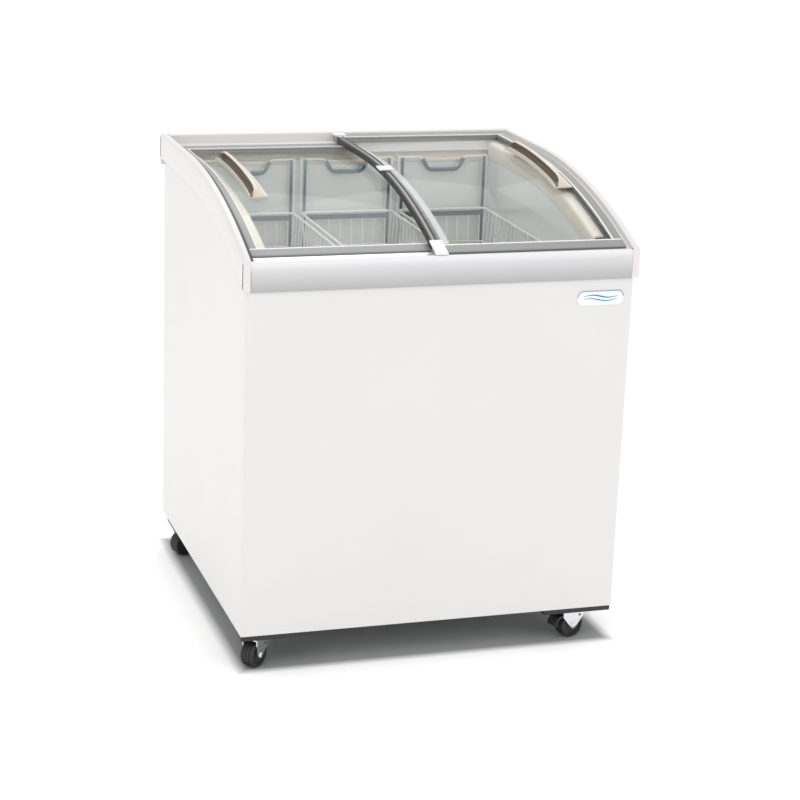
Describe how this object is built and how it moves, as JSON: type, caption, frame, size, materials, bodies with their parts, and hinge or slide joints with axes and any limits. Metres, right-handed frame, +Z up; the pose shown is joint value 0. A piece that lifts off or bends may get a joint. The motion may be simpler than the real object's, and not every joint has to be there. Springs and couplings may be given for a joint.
{
  "type": "chest freezer",
  "caption": "Curved-top display chest freezer with sliding curved glass lids, hanging wire baskets and a rear compressor bay, standing on swivel casters.",
  "frame": {"origin": "on the floor, at the centre of the plan", "axes": "+X to the right seen from the front, along the lids' slide; +Y to the rear; +Z up"},
  "size_m": [0.72, 0.69, 0.8513],
  "materials": {
    "white_steel": "satin",
    "white_plastic": "satin",
    "cream_plastic": "satin",
    "grey_trim": "satin",
    "clear_trim": "gloss",
    "seal": "matte",
    "brushed_rail": "satin",
    "liner": "satin",
    "foam": "matte",
    "glass": "polished",
    "coated_wire": "satin",
    "black_steel": "satin",
    "black_plastic": "matte",
    "wheel_rubber": "satin",
    "chrome": "polished",
    "copper": "satin",
    "badge": "gloss",
    "motor_steel": "satin"
  },
  "bodies": {
    "cabinet": {"front_panel": "white_steel", "left_side_panel": "white_steel", "right_side_panel": "white_steel", "rear_panel": "white_steel", "base_pan": "white_steel", "foam_insulation": "foam", "inner_liner": "liner", "evaporator_coil": "copper", "left_end_cap": "white_plastic", "right_end_cap": "white_plastic", "front_rail": "brushed_rail", "rear_rail": "white_plastic", "front_collar": "cream_plastic", "rear_collar": "cream_plastic", "right_collar": "cream_plastic", "left_collar": "cream_plastic", "badge_plate": "badge", "front_left_corner_plate": "black_steel", "front_right_corner_plate": "black_steel", "rear_left_corner_plate": "black_steel", "rear_right_corner_plate": "black_steel", "compressor": "black_steel", "condenser": "black_steel", "fan_shroud": "black_steel", "fan_motor": "motor_steel", "rear_cover": "white_steel", "cord_gland": "black_plastic"},
    "left_lid": {"left_lid_glass": "glass", "left_lid_front_frame": "grey_trim", "left_lid_rear_frame": "grey_trim", "left_lid_outer_trim": "grey_trim", "left_lid_inner_trim": "clear_trim", "left_lid_handle": "cream_plastic"},
    "right_lid": {"right_lid_glass": "glass", "right_lid_front_frame": "grey_trim", "right_lid_rear_frame": "grey_trim", "right_lid_outer_trim": "grey_trim", "right_lid_inner_trim": "seal", "right_lid_handle": "cream_plastic", "front_clip": "clear_trim", "middle_clip": "clear_trim", "rear_clip": "clear_trim"},
    "left_basket": {"left_basket": "coated_wire"},
    "middle_basket": {"middle_basket": "coated_wire"},
    "right_basket": {"right_basket": "coated_wire"},
    "front_left_swivel": {"front_left_fork": "chrome"},
    "front_left_roller": {"front_left_wheel": "wheel_rubber"},
    "front_right_swivel": {"front_right_fork": "chrome"},
    "front_right_roller": {"front_right_wheel": "wheel_rubber"},
    "front_right_brake": {"front_right_brake_pedal": "black_plastic"},
    "rear_left_swivel": {"rear_left_fork": "chrome"},
    "rear_left_roller": {"rear_left_wheel": "wheel_rubber"},
    "rear_right_swivel": {"rear_right_fork": "chrome"},
    "rear_right_roller": {"rear_right_wheel": "wheel_rubber"},
    "rear_right_brake": {"rear_right_brake_pedal": "black_plastic"},
    "fan": {"fan_blade": "black_plastic"},
    "thermostat": {"thermostat_knob": "black_plastic"},
    "switch": {"power_switch": "black_plastic"}
  },
  "joints": [
    {"name": "left_lid_slide", "type": "slide", "parent": "cabinet", "child": "left_lid", "axis": [1, 0, 0], "range_m": [0, 0.22]},
    {"name": "right_lid_slide", "type": "slide", "parent": "cabinet", "child": "right_lid", "axis": [1, 0, 0], "range_m": [-0.22, 0]},
    {"name": "left_basket_lift", "type": "slide", "parent": "cabinet", "child": "left_basket", "axis": [0, 0, 1], "range_m": [0, 0.006]},
    {"name": "middle_basket_lift", "type": "slide", "parent": "cabinet", "child": "middle_basket", "axis": [0, 0, 1], "range_m": [0, 0.006]},
    {"name": "right_basket_lift", "type": "slide", "parent": "cabinet", "child": "right_basket", "axis": [0, 0, 1], "range_m": [0, 0.006]},
    {"name": "front_left_caster_swivel", "type": "hinge", "parent": "cabinet", "child": "front_left_swivel", "pos_m": [-0.305, -0.303, 0.055], "axis": [0, 0, 1], "continuous": true},
    {"name": "front_left_wheel_roll", "type": "hinge", "parent": "front_left_swivel", "child": "front_left_roller", "pos_m": [-0.32338, -0.31843, 0.024], "axis": [0.6428, -0.766, 0], "continuous": true},
    {"name": "front_right_caster_swivel", "type": "hinge", "parent": "cabinet", "child": "front_right_swivel", "pos_m": [0.305, -0.303, 0.055], "axis": [0, 0, 1], "continuous": true},
    {"name": "front_right_wheel_roll", "type": "hinge", "parent": "front_right_swivel", "child": "front_right_roller", "pos_m": [0.28182, -0.30921, 0.024], "axis": [0.2588, -0.9659, 0], "continuous": true},
    {"name": "front_right_brake_press", "type": "hinge", "parent": "front_right_swivel", "child": "front_right_brake", "pos_m": [0.26153, -0.31465, 0.044], "axis": [0.2588, -0.9659, 0], "range_deg": [0, 14]},
    {"name": "rear_left_caster_swivel", "type": "hinge", "parent": "cabinet", "child": "rear_left_swivel", "pos_m": [-0.305, 0.262, 0.055], "axis": [0, 0, 1], "continuous": true},
    {"name": "rear_left_wheel_roll", "type": "hinge", "parent": "rear_left_swivel", "child": "rear_left_roller", "pos_m": [-0.32755, 0.25379, 0.024], "axis": [0.342, -0.9397, 0], "continuous": true},
    {"name": "rear_right_caster_swivel", "type": "hinge", "parent": "cabinet", "child": "rear_right_swivel", "pos_m": [0.305, 0.262, 0.055], "axis": [0, 0, 1], "continuous": true},
    {"name": "rear_right_wheel_roll", "type": "hinge", "parent": "rear_right_swivel", "child": "rear_right_roller", "pos_m": [0.29679, 0.23945, 0.024], "axis": [0.9397, -0.342, 0], "continuous": true},
    {"name": "rear_right_brake_press", "type": "hinge", "parent": "rear_right_swivel", "child": "rear_right_brake", "pos_m": [0.28961, 0.21971, 0.044], "axis": [0.9397, -0.342, 0], "range_deg": [0, 14]},
    {"name": "fan_spin", "type": "hinge", "parent": "cabinet", "child": "fan", "pos_m": [-0.015, 0.22025, 0.1536], "axis": [0, 1, 0], "continuous": true},
    {"name": "thermostat_turn", "type": "hinge", "parent": "cabinet", "child": "thermostat", "pos_m": [-0.26, 0.3286, 0.23], "axis": [0, -1, 0], "range_deg": [0, 270]},
    {"name": "power_switch_rock", "type": "hinge", "parent": "cabinet", "child": "switch", "pos_m": [-0.26, 0.325, 0.165], "axis": [1, 0, 0], "range_deg": [0, 14]}
  ]
}
